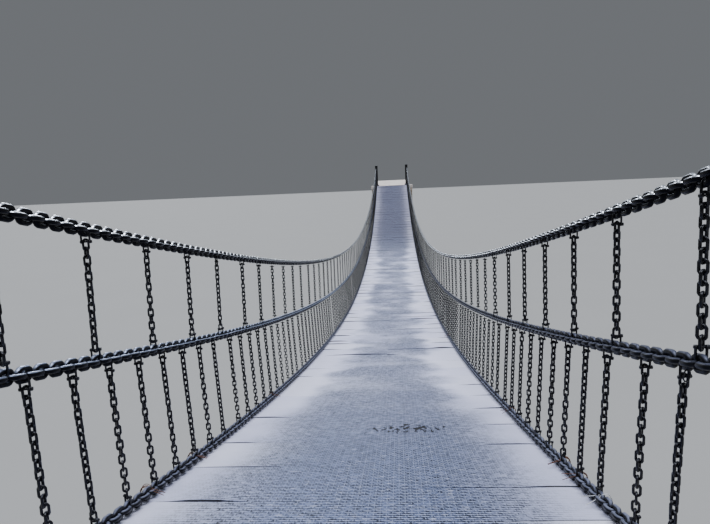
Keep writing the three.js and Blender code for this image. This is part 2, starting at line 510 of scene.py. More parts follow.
def chequer_finish():
    """Galvanised chequer plate, worn along the middle, where its blue is partly a painted sky reflection, and
    dusty towards the edges.
    """
    look = Finish("worn chequer plate")
    tone, grain = look.use(MOTTLE, Large=1.6, Small=180.0)
    streak = look.noise(1.6, axes=(14.0, 0.8, 1.0))
    fine = look.noise(26.0, 4.0, 0.65)
    grit = look.noise(1.0, axes=(24.0, 50.0, 1.0))
    raised, foot = look.use(TREAD)
    x, y, _ = look.axes(look.place)
    facing = look.facing()
    upward = look.ramp(facing["Z"], -0.3, 0.1)

    off_centre = look.math("ABSOLUTE", x)
    dust = look.ramp(look.math("MULTIPLY_ADD", tone, 0.24, off_centre), DUST_FROM, DUST_TO)
    # Extra dust along the middle of the span, partly painted sheen there; its fall towards the far end is
    # painted shade.
    settled_and_sheen = look.times(
        look.ramp(y, -14.8, -11.0),
        look.ramp(y, 3.0, 8.0, 1.0, 0.0),
        look.ramp(tone, 0.3, 0.7, 0.6, 1.4),
    )
    dust = look.math("MULTIPLY_ADD", settled_and_sheen, MIDDLE_DUST_AND_SHEEN, dust)
    patchy = look.times(look.ramp(fine, 0.52, 0.75, 0.0, 0.35), tone)
    dust = look.times(look.math("MAXIMUM", dust, patchy), look.ramp(look.face_tone(), 0.0, 1.0, 0.85, 1.0))
    dust = look.math("MINIMUM", dust, 1.0)
    clean = look.ramp(dust, 0.35, 0.9, 1.0, 0.0)

    # The steel's strong blue is partly a painted sky reflection.
    steel = look.layers(
        look.mix(streak, rgb(0.12, 0.155, 0.31), rgb(0.21, 0.26, 0.46)),
        (look.ramp(fine, 0.35, 0.7, 0.0, 0.5), rgb(0.27, 0.32, 0.47)),
        # Painted highlight: the raised lozenges' tops are lighter.
        (look.times(raised, 0.45), rgb(0.32, 0.38, 0.55)),
    )
    grey = look.mix(grain, rgb(0.57, 0.575, 0.78), rgb(0.66, 0.66, 0.83))
    grey = look.mix(look.face_tone(), grey, rgb(0.73, 0.73, 0.86))
    below = look.mix(tone, rgb(0.07, 0.075, 0.09), rgb(0.17, 0.17, 0.18))
    below = look.mix(look.ramp(fine, 0.5, 0.7, 0.0, 0.6), below, rgb(0.12, 0.06, 0.035))
    crumbs = look.times(look.ramp(grit, 0.54, 0.62, 0.0, 0.9), look.ramp(raised, 0.2, 0.8, 1.0, 0.2))
    # Dark marks: soil crumbs, and painted shade with grime at the lozenges' far feet.
    dirt_and_shade = look.times(look.math("MAXIMUM", foot, crumbs), look.ramp(fine, 0.40, 0.54, 0.15, 1.0), clean)
    color = look.layers(
        look.mix(dust, steel, grey),
        # Painted highlight on the tops of the lozenges where the plate is clean.
        (look.times(raised, clean, 0.4), rgb(0.46, 0.52, 0.76)),
        # Painted glints: light specks on the clean steel.
        (look.times(look.ramp(grit, 0.33, 0.43, 0.6, 0.0), clean), rgb(0.60, 0.63, 0.82)),
        (dirt_and_shade, rgb(0.003, 0.004, 0.012)),
        # Painted shade: the deck darkens over its far end.
        (look.ramp(y, 3.0, 9.5, 0.0, 0.5), rgb(0.045, 0.03, 0.06)),
        # Painted shade with grime along the seams.
        (seam_grime_and_shade(look), rgb(0.012, 0.014, 0.03)),
        (soil_mask(look), rgb(0.006, 0.006, 0.006)),
        # Painted shade: faces turned to the near end, such as plate ends at the seams, go near black.
        (look.ramp(facing["Y"], -0.9, -0.6, 1.0, 0.0), rgb(0.008, 0.009, 0.014)),
    )
    color = look.mix(upward, below, color)

    rough = look.math("MAXIMUM", look.ramp(fine, 0.3, 0.7, 0.34, 0.52), look.times(dust, 0.8))
    buried = look.times(raised, look.ramp(dust, 0.2, 0.95, 1.0, 0.12), upward)
    bumps = ((buried, 0.9, 0.0016), (grain, 0.25, 0.0005))
    return look.surface(color, rough, bumps, look.times(look.ramp(dust, 0.0, 1.0, 0.55, 0.0), upward))


def black_paint(name, dust, gloss, worn_color, start=0.25, specular=0.32, polish=0.0, full=0.36, low=None):
    """Black gloss paint, dusty or polished to bare metal where it faces up. Given the height at mid-span
    of a sagging chain as low, dust is kept off the chain's lower half, a painted shade that leaves it black."""
    look = Finish(name)
    tone, grain = look.use(MOTTLE, Large=6.0, Small=300.0)
    wear = look.use(UPWARD, Start=start, Full=full)["Mask"]
    _, y, z = look.axes(look.place)
    # Dust and polish fade towards the far end: painted shade over the far part of the chains.
    worn = look.times(wear, look.ramp(y, -9.0, 4.0, dust, dust * 0.3))
    # Painted shade: the lower half of the chain gets no dust and stays black.
    if low is not None:
        sag = look.times(y, y, DECK_SAG / HALF_SPAN ** 2)
        above = look.math("SUBTRACT", look.math("SUBTRACT", z, low), sag)
        worn = look.times(worn, look.ramp(above, -0.010, 0.006))
    paint = look.mix(tone, rgb(0.003, 0.003, 0.004), rgb(0.008, 0.008, 0.010))
    rough = look.ramp(grain, 0.3, 0.7, gloss, gloss + 0.14)
    rough = look.math("MULTIPLY_ADD", worn, 0.3 * (1 - polish), rough)
    bumps = ((grain, 0.1, 0.0004),)
    return look.surface(look.mix(worn, paint, worn_color), rough, bumps, look.times(worn, polish), specular)


def rusty_finish():
    """Dark paint on rolled steel, with rust where it has let go."""
    look = Finish("rusty dark paint")
    tone, grain = look.use(MOTTLE, Large=5.0, Small=120.0)
    patches = look.ramp(look.noise(11.0, 5.0, 0.7), 0.45, 0.62)
    paint = look.mix(tone, rgb(0.018, 0.017, 0.018), rgb(0.04, 0.036, 0.036))
    rust = look.mix(grain, rgb(0.10, 0.035, 0.015), rgb(0.22, 0.09, 0.035))
    bumps = ((grain, 0.35, 0.001), (patches, 0.3, 0.0008))
    return look.surface(look.mix(patches, paint, rust), look.ramp(patches, 0.0, 1.0, 0.45, 0.85), bumps)


def stone_finish():
    """Rough-faced sandstone: each stone has its own tone, with bedding lines and lichen."""
    look = Finish("rubble stone")
    tone, grain = look.use(MOTTLE, Large=7.0, Small=70.0)
    beds = look.noise(6.0, 4.0, 0.6, (1.0, 1.0, 7.0))
    color = look.layers(
        look.mix(look.face_tone(), rgb(0.17, 0.125, 0.09), rgb(0.40, 0.31, 0.24)),
        (look.ramp(beds, 0.4, 0.62, 0.0, 0.6), rgb(0.26, 0.22, 0.19)),
        (look.ramp(tone, 0.55, 0.72, 0.0, 0.6), rgb(0.42, 0.40, 0.35)),
        (look.ramp(grain, 0.5, 0.7, 0.0, 0.3), rgb(0.09, 0.07, 0.06)),
    )
    return look.surface(color, 0.9, ((grain, 0.6, 0.004), (beds, 0.5, 0.008)), specular=0.3)


def mortar_finish():
    """Sandy lime mortar, damp and darker towards the foot of the wall."""
    look = Finish("lime mortar")
    tone, grain = look.use(MOTTLE, Large=4.0, Small=150.0)
    damp = look.ramp(look.axes(look.place)["Z"], 0.0, 0.7, 0.55, 0.0)
    color = look.mix(tone, rgb(0.30, 0.28, 0.25), rgb(0.44, 0.41, 0.37))
    color = look.mix(damp, color, rgb(0.12, 0.12, 0.10))
    return look.surface(color, 0.95, ((grain, 0.6, 0.002),), specular=0.3)


def concrete_finish():
    """Pale trowelled concrete with a pinkish cast, fine cracks and trodden-in grime."""
    look = Finish("trowelled concrete")
    tone, grain = look.use(MOTTLE, Large=2.2, Small=90.0)
    cells = look.node("TexVoronoi", {"Vector": look.place, "Scale": 1.7}, feature="DISTANCE_TO_EDGE")
    edge = look.math("MULTIPLY_ADD", look.noise(9.0, 4.0), 0.05, cells.outputs["Distance"])
    crack = look.ramp(edge, 0.024, 0.032, 0.8, 0.0)
    color = look.layers(
        look.mix(tone, rgb(0.52, 0.46, 0.42), rgb(0.68, 0.63, 0.59)),
        (look.ramp(grain, 0.55, 0.75, 0.0, 0.4), rgb(0.36, 0.33, 0.30)),
        (crack, rgb(0.14, 0.12, 0.11)),
    )
    return look.surface(color, 0.88, ((grain, 0.4, 0.0015), (crack, 0.6, 0.002)), specular=0.35)


def plain_finish(name, large, small, dark, light, rough, bump=None, metallic=0.0, specular=0.5):
    look = Finish(name)
    tone, grain = look.use(MOTTLE, Large=large, Small=small)
    bumps = ((grain, *bump),) if bump else ()
    return look.surface(look.mix(tone, dark, light), rough, bumps, metallic, specular)


def wire_finish(name, dark, light):
    return plain_finish(name, 40.0, 400.0, dark, light, 0.7, (0.3, 0.0005), 0.2)


CHEQUER = chequer_finish()
TOP_PAINT = black_paint("gloss black rail chain", 1.0, 0.2, rgb(0.86, 0.90, 0.98), 0.34, 0.06, 1.0, 0.2)
# The two mid chains are lit and shaded copies of one paint: the left one's light, polished wear is partly
# painted highlight, the right one's dark wear partly painted shade.
MID_PAINTS = {
    "left": black_paint("worn and highlighted black rail chain", 0.95, 0.24, rgb(0.42, 0.48, 0.66), 0.32, 0.08, 0.9),
    "right": black_paint("dull and shaded black rail chain", 0.85, 0.28, rgb(0.11, 0.12, 0.175), 0.3, 0.15, 0.6),
}
EDGE_LOW = float(edge_centre(0.0))
EDGE_WEAR = rgb(0.17, 0.185, 0.27)
EDGE_PAINT = black_paint("dusty black edge chain", 0.9, 0.3, EDGE_WEAR, 0.4, 0.15, low=EDGE_LOW)
HANGER_PAINT = black_paint("black hanger chain", 0.1, 0.16, rgb(0.20, 0.21, 0.30))
POST_PAINT = black_paint("black post paint", 0.5, 0.3, rgb(0.14, 0.145, 0.19))
RUSTY = rusty_finish()
STONE = stone_finish()
LIME = mortar_finish()
CONCRETE = concrete_finish()
RUSTY_WIRE = wire_finish("rusty tie wire", rgb(0.05, 0.018, 0.010), rgb(0.18, 0.07, 0.035))
PALE_WIRE = wire_finish("galvanised tie wire", rgb(0.35, 0.36, 0.38), rgb(0.7, 0.7, 0.72))


# Chain links


def ring_shape(name, detail, radius, thickness, rotation=(0, 0, 0)):
    """A torus with sides between its axes, so that it can be pulled apart or cut along them."""
    turns, sides = detail
    made = primitive(
        "torus",
        name,
        major_segments=turns,
        minor_segments=sides,
        major_radius=radius / math.cos(math.pi / turns),
        minor_radius=thickness / 2,
    )
    steps = [Matrix.Rotation(angle, 4, axis) for angle, axis in zip(rotation, "XYZ") if angle]
    return moved(made, *reversed(steps), turn(180 / turns, "Z"))


def link(name, chain, detail):
    """One chain link along X, flat in the XY plane: a ring pulled apart into a link."""
    made = ring_shape(name, detail, (chain["width"] - chain["wire"]) / 2, chain["wire"])
    pull = (chain["pitch"] + 2 * chain["wire"] - chain["width"]) / 2
    for way in (-1, 1):
        pull_where(made, lambda co: co.x * way > 0, way * pull, 0, 0)
    return made


def link_pair(chain, detail):
    """A flat link and the upright one after it, which an array repeats."""
    flat = link("flat_link", chain, detail)
    upright = moved(link("upright_link", chain, detail), shift(chain["pitch"], 0, 0), turn(90, "X"))
    return joined("link_pair", [flat, upright])


def guide_curve(x, height, end):
    """A curve for the links to follow."""
    steps = 2 * round(end / 0.1)
    data = bpy.data.curves.new("guide", "CURVE")
    data.dimensions = "3D"
    data.twist_mode = "Z_UP"
    line = data.splines.new("POLY")
    line.points.add(steps)
    for i, point in enumerate(line.points):
        y = -end + 2 * end * i / steps
        point.co = (x, y, height(y), 1)
    return in_scene("guide", data)


def pair_layout(chain, height, end):
    """The pairs of links in a chain, the length of each, and places with the chain's length up to them."""
    places = np.linspace(-end, end, 1200)
    steps = np.hypot(np.diff(places), np.diff(height(places)))
    lengths = np.concatenate([[0], np.cumsum(steps)])
    pairs = round(lengths[-1] / (2 * chain["pitch"]))
    return pairs, lengths[-1] / pairs, places, lengths


def roll_links(piece, size, roll, start, spacing):
    """Rolls each link by the chain's own roll, a slow twist and a little more."""
    points = coordinates(piece.data).reshape(-1, size, 3)
    for i, own in enumerate(points):
        wave = LINK_TWIST * math.sin((start + i) * spacing / TWIST_LENGTH)
        angle = roll + wave + random.uniform(-LINK_ROLL, LINK_ROLL)
        own[:] = own @ np.array(turn(angle, "X").to_3x3()).T
    piece.data.vertices.foreach_set("co", points.ravel())


def chain_along(name, chain, x, height, end, steps, roll=0):
    """A whole chain of links, finer where it is seen from near by."""
    guide = guide_curve(x, height, end)
    pairs, pair_length, places, lengths = pair_layout(chain, height, end)
    spacing = {"use_relative_offset": False, "use_constant_offset": True}
    spacing["constant_offset_displace"] = (pair_length, 0, 0)
    runs = []
    first = 0
    for until, detail in steps:
        last = min(pairs, round(float(np.interp(until, places, lengths)) / pair_length))
        run = link_pair(chain, detail)
        size = len(run.data.vertices) // 2
        modify(run, "ARRAY", count=last - first, **spacing)
        roll_links(run, size, roll, 2 * first, pair_length / 2)
        moved(run, shift(pair_length * (first + 0.25), 0, 0))
        runs.append(modify(run, "CURVE", object=guide, deform_axis="POS_X"))
        first = last
    bpy.data.objects.remove(guide)
    return joined(name, runs)


def upright_places(height):
    """Where a heavy chain's upright links are, which the hangers hang from."""
    pairs, pair_length, places, lengths = pair_layout(HEAVY, height, CHAIN_END)
    return np.interp((np.arange(pairs) + 0.75) * pair_length, lengths, places)


# The hole of a chain's last link ends where the lug's bar does.
CHAIN_END = POST_FACE - LUG["reach"] + LUG["bar"] / 2
LOAD_END = BEAM_FACE - LUG["reach"] + LUG["bar"] / 2


def side_chains(side, place):
    levels = (
        ("edge", EDGE_PAINT, place["edge_roll"], "_edge_chain"),
        ("mid", MID_PAINTS[side], place["mid_roll"], "_mid_chain_and_hangers"),
        ("top", TOP_PAINT, 0, "_top_chain_and_hangers"),
    )
    for level, paint, roll, node in levels:
        offset, height = RAILS[level]
        name = side + "_" + level + "_chain_links"
        x = place["sign"] * offset
        links = chain_along(name, HEAVY, x, height, CHAIN_END, HEAVY_STEPS, roll)
        finished(links, 180, paint, "chain", side + node)


def load_chains():
    for number, x in enumerate(LOAD_OFFSETS, 1):
        links = chain_along(f"load_chain_links_{number}", LOAD, x, load_centre, LOAD_END, LOAD_STEPS)
        finished(links, 180, HANGER_PAINT, "chain", f"load_chain_{number}")


# Hangers and their shackles

# "top" and "drop" are how far the top of a shackle's bow and its pin are from the middle of the link.
SHACKLE = {"wire": 0.008, "inside": 0.019, "top": 0.005, "drop": 0.044}
SHACKLE_PIN = {"wire": 0.007, "past": 0.011, "eye": 0.013}
SWING = 25  # degrees that a hanger's first link is turned from square to the chains


def cross_pin(name, sides, diameter, length, x=0.0):
    return moved(cylinder(name, sides, diameter / 2, length), shift(x, 0, 0), turn(90, "Y"))


def shackle(detail, full):
    """A D shackle, its bow in a link at the origin and its pin along X below it."""
    ring = (SHACKLE["inside"] + SHACKLE["wire"]) / 2
    legs = SHACKLE["drop"] - SHACKLE["top"] - ring
    bow = ring_shape("shackle", detail, ring, SHACKLE["wire"], (math.pi / 2, 0, 0))
    cut_where(bow, lambda co: co.z < -ring * 0.5)
    pull_where(bow, lambda co: co.z < 0, 0, 0, -legs)
    moved(bow, shift(0, 0, legs))
    parts = [bow, cross_pin("pin", 6 if full else 4, SHACKLE_PIN["wire"], 2 * ring + SHACKLE_PIN["past"])]
    if full:
        parts += [cross_pin("eye", 8, SHACKLE_PIN["eye"], 0.007, way * ring) for way in (-1, 1)]
        parts.append(cross_pin("nut", 6, 0.012, 0.004, ring + SHACKLE_PIN["past"] / 2))
    return moved(joined("shackle", parts), shift(0, 0, -SHACKLE["drop"]))


def hanger_shapes(head_chain, foot_chain, sign, y, thin_link, bow):
    """One hanger: thin links between two shackles."""
    ends = []
    for offset, height, uprights in (head_chain, foot_chain):
        y = uprights[np.abs(uprights - y).argmin()]
        ends.append(Vector((sign * offset, y, height(y))))
    head, foot = ends
    swing = random.gauss(SWING * sign, 8)
    askew = [turn(random.gauss(0, 20), "Z") for _ in ends]
    shapes = [
        placed(bow, shift(*head), askew[0]),
        placed(bow, shift(*foot), askew[1], turn(180, "X")),
    ]
    reach = SHACKLE["drop"] - SHACKLE_PIN["wire"] / 2
    high, low = head.z - reach, foot.z + reach
    count = max(1, round((high - low) / THIN["pitch"]))
    pitch = (high - low) / count
    drift = random.uniform(-2.5, 2.5)
    for i in range(count):
        centre = head.lerp(foot, (i + 0.5) / count)
        centre.z = high - (i + 0.5) * pitch
        spin = swing + i * (90 + drift) + random.uniform(-8, 8)
        squeeze = stretch(1, 1, pitch / THIN["pitch"])
        shapes.append(placed(thin_link, shift(*centre), turn(spin, "Z"), squeeze))
    return shapes


def all_hangers():
    sets = []
    for until, detail in THIN_STEPS:
        near = until < -10
        thin_link = shape_of(moved(link("thin_link", THIN, detail), turn(90, "Y")))
        sets.append((until, thin_link, shape_of(shackle((12, 5) if near else (8, 3), near))))
    edge, mid, top = ((offset, height, upright_places(height)) for offset, height in RAILS.values())
    rows = (
        ("lower", LOWER_PITCH, "_mid_chain_and_hangers", mid, edge),
        ("upper", UPPER_PITCH, "_top_chain_and_hangers", top, mid),
    )
    for side, place in SIDES.items():
        for row, pitch, node, head, foot in rows:
            shapes = []
            count = math.ceil(HANGER_REACH / pitch)
            for i in range(-count, count):
                y = (i + 0.5) * pitch + place[row]
                if abs(y) > HANGER_REACH:
                    continue
                own_set = next(each for each in sets if y < each[0])
                shapes += hanger_shapes(head, foot, place["sign"], y, *own_set[1:])
            hangers = piece_from(side + "_" + row + "_hangers", shapes)
            finished(hangers, 180, HANGER_PAINT, "chain", side + node)


# Deck plates, bearers and their clamps

CLAMP = {"wire": 0.010, "gap": 0.006, "legs": 0.07}


def bearer_place(i):
    return -HALF_SPAN + (i + 0.5) * BEARER_PITCH + BEARER_SHIFT


def seam_place(side, i):
    scatter = random.uniform(-SEAM_SCATTER, SEAM_SCATTER)
    return bearer_place(i) + SEAM_SHIFT[side] + SEAM_MOVES[side].get(i, scatter)


def seam_lift(side, i):
    known = [row[1:] for row in SEAM_LIFTS[side] if row[0] == i]
    if known:
        return known
    corner = (random.uniform(0.72, 0.95), random.uniform(0.08, 0.3))
    if bearer_place(i) < PROUD_FROM:
        return ((*corner, max(0.0, random.gauss(0.001, 0.003))),)
    broad = random.uniform(0.003, 0.008) if random.random() < 0.3 else 0.0
    return ((*corner, random.uniform(0.0, 0.014)), (0.5, 0.7, broad))


def plate_rows():
    """Two rows of chequer plates: thin grids, fitted between their seams and lifted."""
    sheet = primitive("grid", "sheet", x_subdivisions=14, y_subdivisions=3, size=1)
    modify(sheet, "SOLIDIFY", thickness=PLATE, offset=-1)
    points, faces = shape_of(moved(sheet, shift(0.5, 0.5, 0)))
    across, along, rise = points.T
    spans = {"left": (-DECK_HALF_WIDTH, -CENTRE_GAP / 2), "right": (CENTRE_GAP / 2, DECK_HALF_WIDTH)}
    sections = [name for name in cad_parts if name.startswith("deck_section")]
    for side, (x_from, x_to) in spans.items():
        seams = [-HALF_SPAN, *(seam_place(side, i) for i in range(BEARER_COUNT)), HALF_SPAN]
        lifts = [(), *(seam_lift(side, i) for i in range(BEARER_COUNT))]
        shapes, tones = [], []
        x = x_from + across * (x_to - x_from)
        from_middle = x * SIDES[side]["sign"]
        for i, (y_from, y_to) in enumerate(zip(seams, seams[1:])):
            y = y_from + SEAM_GAP / 2 + along * (y_to - y_from - SEAM_GAP)
            z = deck_top(y) - PLATE_DROP + rise
            for middle, half, lift in lifts[i]:
                z += lift * np.clip(1 - ((from_middle - middle) / half) ** 2, 0, 1) * (1 - along) ** 2
            shapes.append((np.stack([x, y, z], 1), faces))
            tones.append(1.0 if (side, i) == PALE_PLATE else random.random() ** 2 * 0.6)
        plates = piece_from(side + "_chequer_plates", shapes, tones)
        finished(plates, 30, CHEQUER, "deck_plate", *sections)


def channel():
    """A channel, web up and flanges down, with the top of its web at the origin."""
    width, depth, wall = BEARER.values()
    made = moved(primitive("plane", "channel", size=1), stretch(2 * DECK_HALF_WIDTH, width, 1))
    down = {"value": (0, 0, -depth)}
    for way in (-1, 1):
        edit_where(
            made,
            lambda co: co.y * way > 0 and co.z > -depth / 2,
            lambda: bpy.ops.mesh.extrude_region_move(TRANSFORM_OT_translate=down),
        )
    modify(made, "SOLIDIFY", thickness=wall, offset=-1, use_even_offset=True)
    return bevelled(made, 0.002, 1)


def clamp():
    """A bolt bent to a U round a load chain, up to the web of the bearer."""
    half = LOAD["width"] / 2 + CLAMP["gap"]
    bow = ring_shape("clamp", (8, 4), half, CLAMP["wire"], (math.pi / 2, 0, 0))
    cut_where(bow, lambda co: co.z > half * 0.6)
    return pull_where(bow, lambda co: co.z > 0, 0, 0, CLAMP["legs"])


def bearers_and_clamps():
    beam, bolt = shape_of(channel()), shape_of(clamp())
    beams, clamps = [], []
    for i in range(BEARER_COUNT):
        y = bearer_place(i)
        slope = turn(math.degrees(math.atan(2 * DECK_SAG * y / HALF_SPAN ** 2)), "X")
        beams.append(placed(beam, shift(0, y, deck_top(y) - PLATE_DROP - PLATE - 0.0005), slope))
        for x in LOAD_OFFSETS:
            askew = turn(random.uniform(-4, 4), "Z")
            clamps.append(placed(bolt, shift(x, y, load_centre(y)), slope, askew))
    finished(piece_from("cross_bearers", beams), 30, RUSTY, "bearer")
    finished(piece_from("load_chain_clamps", clamps), 60, RUSTY, "bearer")


# Abutments and landings

STONE_BEVEL = 0.09  # of the unit block that the stones are copies of


def stone_shape(shape, low, high):
    """A stone that fills the box from low to high, with its corners knocked about."""
    points, faces = shape
    low, high = np.array(low), np.array(high)
    size = high - low
    cut = np.clip(0.022 / size, 0.3 * STONE_BEVEL, 1.2 * STONE_BEVEL)
    inner = np.abs(points) < 0.5 - STONE_BEVEL / 2
    fitted = np.where(inner, np.sign(points) * (0.5 - cut), points)
    knocks = [[max(-1.7, min(1.7, random.gauss(0, 1))) for _ in range(3)] for _ in points]
    return low + (fitted + 0.5) * size + np.array(knocks) * 0.0035, faces


def cut_up(start, end):
    cuts = [start]
    while end - cuts[-1] > STONE_LENGTHS[1]:
        cuts.append(cuts[-1] + random.uniform(*STONE_LENGTHS))
    if end - cuts[-1] < STONE_LENGTHS[0] and len(cuts) > 1:
        cuts[-1] = (cuts[-2] + end) / 2
    return list(zip(cuts, cuts[1:] + [end]))


def wall_edge(way, half, depth):
    return sorted((way * half, way * (half - depth)))


def course_plan(half_x, half_y, odd):
    """The stones of one course in plan, about the abutment's middle: corners, then sides."""
    corner_x, corner_y = CORNER_STONE if odd else CORNER_STONE[::-1]
    stones = []
    for x_way in (-1, 1):
        for y_way in (-1, 1):
            stones.append((wall_edge(x_way, half_x, corner_x), wall_edge(y_way, half_y, corner_y)))
    for way in (-1, 1):
        face_x, face_y = wall_edge(way, half_x, STONE_DEPTH), wall_edge(way, half_y, STONE_DEPTH)
        stones += [(xs, face_y) for xs in cut_up(corner_x - half_x, half_x - corner_x)]
        stones += [(face_x, ys) for ys in cut_up(corner_y - half_y, half_y - corner_y)]
    return stones


def course_stones(shape, middle_y, z_low, z_high, odd):
    """One course of stones, with a joint wherever a stone doesn't end at the wall's face."""
    half_x = ABUTMENT["width"] / 2 - STONE_INSET
    half_y = ABUTMENT["length"] / 2 - STONE_INSET
    joint = MORTAR / 2
    shapes = []
    for xs, ys in course_plan(half_x, half_y, odd):
        low, high = [], []
        for (start, end), half in ((xs, half_x), (ys, half_y)):
            low.append(start if start < 0.001 - half else start + joint)
            high.append(end if end > half - 0.001 else end - joint)
        stone = stone_shape(shape, (*low, z_low + joint), (*high, z_high - joint))
        shapes.append(placed(stone, shift(0, middle_y, 0)))
    return shapes


def abutments():
    shape = shape_of(bevelled(block("stone", (1, 1, 1)), STONE_BEVEL, 1))
    for end, way in ENDS.items():
        shapes, z, odd = [], 0.0, False
        while WALL_TOP - z > 0.05:
            rest = WALL_TOP - z
            tall = random.uniform(*COURSE_HEIGHTS)
            if rest - tall < COURSE_HEIGHTS[0]:
                tall = rest if rest < COURSE_HEIGHTS[1] + 0.05 else rest / 2
            shapes += course_stones(shape, way * END_MIDDLE, z, z + tall, odd)
            z += tall
            odd = not odd
        tones = [random.random() for _ in shapes]
        stones = piece_from(end + "_abutment_stones", shapes, tones)
        finished(stones, 50, STONE, "masonry", end + "_abutment")
        recess = STONE_INSET + MORTAR
        size = (ABUTMENT["width"] - 2 * recess, ABUTMENT["length"] - 2 * recess, WALL_TOP)
        core = block(end + "_abutment_mortar", size, (0, way * END_MIDDLE, WALL_TOP / 2), bevel=0.01)
        finished(core, 0, LIME, "masonry")


def concrete_block(size, centre, bevel):
    """A block cut fine enough for its surface to be knocked about."""
    made = block("concrete", size, centre)
    edit_where(made, lambda co: True, lambda: bpy.ops.mesh.subdivide(number_cuts=11))
    return bevelled(made, bevel)


def landing_ramp(way):
    """Concrete ramp that rises from the slab behind the posts to the landing's outer end."""
    width, start, rise, sink = RAMP.values()
    length, depth = ABUTMENT["length"] - start, rise + sink
    bottom, foot = DECK_END - sink, HALF_SPAN + start
    centre = (0, way * (foot + length / 2), bottom + depth / 2)
    ramp = concrete_block((width, length, depth), centre, 0.008)
    for vertex in ramp.data.vertices:
        climb = max(0.0, (abs(vertex.co.y) - foot) / length)
        share = (sink + climb * rise) / depth
        dip = random.uniform(0.0, 0.002)
        vertex.co.z = bottom + (vertex.co.z - bottom) * share - dip
    return ramp


def landings():
    """Concrete slabs with worn edges, each with its ramp."""
    for end, way in ENDS.items():
        size = (LANDING["width"], ABUTMENT["length"], LANDING["thickness"])
        slab = concrete_block(size, (0, way * END_MIDDLE, DECK_END - LANDING["thickness"] / 2), 0.012)
        for vertex in slab.data.vertices:
            rim = abs(vertex.co.x) > LANDING["width"] / 2 - 0.02
            worn = random.uniform(0.0, 0.005) if rim else random.uniform(0.0, 0.001)
            vertex.co.x -= math.copysign(worn, vertex.co.x)
            if vertex.co.z > DECK_END - 0.02:
                vertex.co.z -= worn
        landing = joined(end + "_landing_slab", [slab, landing_ramp(way)])
        finished(landing, 35, CONCRETE, "concrete", end + "_landing")


# Posts and anchor beams


def hex_bolt(radius, stud):
    """A nut on a washer and the stud's end, along +Z."""
    washer = cylinder("washer", 12, radius * 1.7, 0.003)
    nut = cylinder("nut", 6, radius * 1.5, radius * 1.1, radius * 0.55 + 0.0015)
    return joined("bolt", [washer, nut, cylinder("stud", 8, radius * 0.75, stud, stud / 2)])


def end_lug(chain, way, face, x, z):
    """A bar bent to a U and welded to a face, through the last link of a chain."""
    ring = chain["wire"] * 0.6 + LUG["bar"] / 2
    made = ring_shape("lug", (12, 6), ring, LUG["bar"])
    pull_where(made, lambda co: co.y > 0, 0, 0.03, 0)
    moved(made, shift(0, ring - LUG["reach"], 0))
    if way < 0:
        moved(made, turn(180, "Z"), turn(90, "Y"))
    return moved(made, shift(x, way * face, z))


def post_parts():
    """A square post on its base plate, with a pointed lid, four bolts and four stiffeners."""
    half, base, cap, rib = POST["size"] / 2, POST_BASE, POST_CAP, POST_RIB
    lid_at = POST["height"] - cap["rise"] - cap["thickness"]
    plates = (
        (base["size"], 0, base["thickness"], 0.002),
        (POST["size"], 0, lid_at, 0.008),
        (cap["size"], lid_at, cap["thickness"], 0.003),
    )
    parts = [
        block("part", (side, side, tall), (0, 0, low + tall / 2), bevel)
        for side, low, tall, bevel in plates
    ]
    point = primitive("cone", "point", vertices=4, radius1=cap["size"] / 2 ** 0.5, depth=cap["rise"])
    parts.append(moved(point, shift(0, 0, POST["height"] - cap["rise"] / 2), turn(45, "Z")))
    spread = base["size"] / 2 - 0.032
    size = (rib["thickness"], rib["width"], rib["height"])
    centre = (0, half + rib["width"] / 2, base["thickness"] + rib["height"] / 2)
    for corner in range(4):
        bolt = moved(hex_bolt(0.010, 0.034), shift(spread, spread, base["thickness"]))
        stiffener = block("stiffener", size, centre)
        pull_where(stiffener, lambda co: co.z > 0.08 and co.y > half + 0.02, 0, 0, -0.06)
        parts += [moved(part, turn(90 * corner, "Z")) for part in (bolt, stiffener)]
    return parts


def posts():
    for end, end_way in ENDS.items():
        for side, place in SIDES.items():
            name = end + "_" + side + "_post"
            spot = shift(place["sign"] * POST["offset"], end_way * (HALF_SPAN + POST["setback"]), DECK_END)
            post = moved(joined("post", post_parts()), spot)
            lugs = [
                end_lug(HEAVY, end_way, POST_FACE, place["sign"] * offset, height(POST_FACE))
                for offset, height in RAILS.values()
            ]
            finished(joined(name + "_steel", [post, *lugs]), 35, POST_PAINT, "post", name)


def anchor_beams():
    """A deep I beam with ribs and bolts on each abutment's face, and a lug for each load chain."""
    width, length, depth, web, flange = ANCHOR_BEAM.values()
    height = depth - 0.01
    for end, way in ENDS.items():
        name = end + "_anchor_beam"
        low, high = (Vector(corner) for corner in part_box(name))
        parts = [block("web", (width, web, height), bevel=0.003)]
        for z in (-1, 1):
            parts.append(block("flange", (width, length, flange), (0, 0, z * (height - flange) / 2), 0.003))
        for x in (-0.9, -0.6, -0.2, 0.2, 0.6, 0.9):
            parts.append(block("rib", (0.012, length - 0.008, height - 0.02), (x, 0, 0), 0.002))
        for x in (-0.75, -0.3, 0.3, 0.75):
            for z in (-0.06, 0.06):
                bolt = moved(hex_bolt(0.010, 0.02), turn(90 * way, "X"))
                parts.append(moved(bolt, shift(x, way * -web / 2, z)))
        beam = moved(joined("beam", parts), shift(*(low + high) / 2))
        lugs = [end_lug(LOAD, way, BEAM_FACE, x, load_centre(BEAM_FACE)) for x in LOAD_OFFSETS]
        finished(joined(name + "_steel", [beam, *lugs]), 35, RUSTY, "bearer", name)


# Tie wires and a spare ring

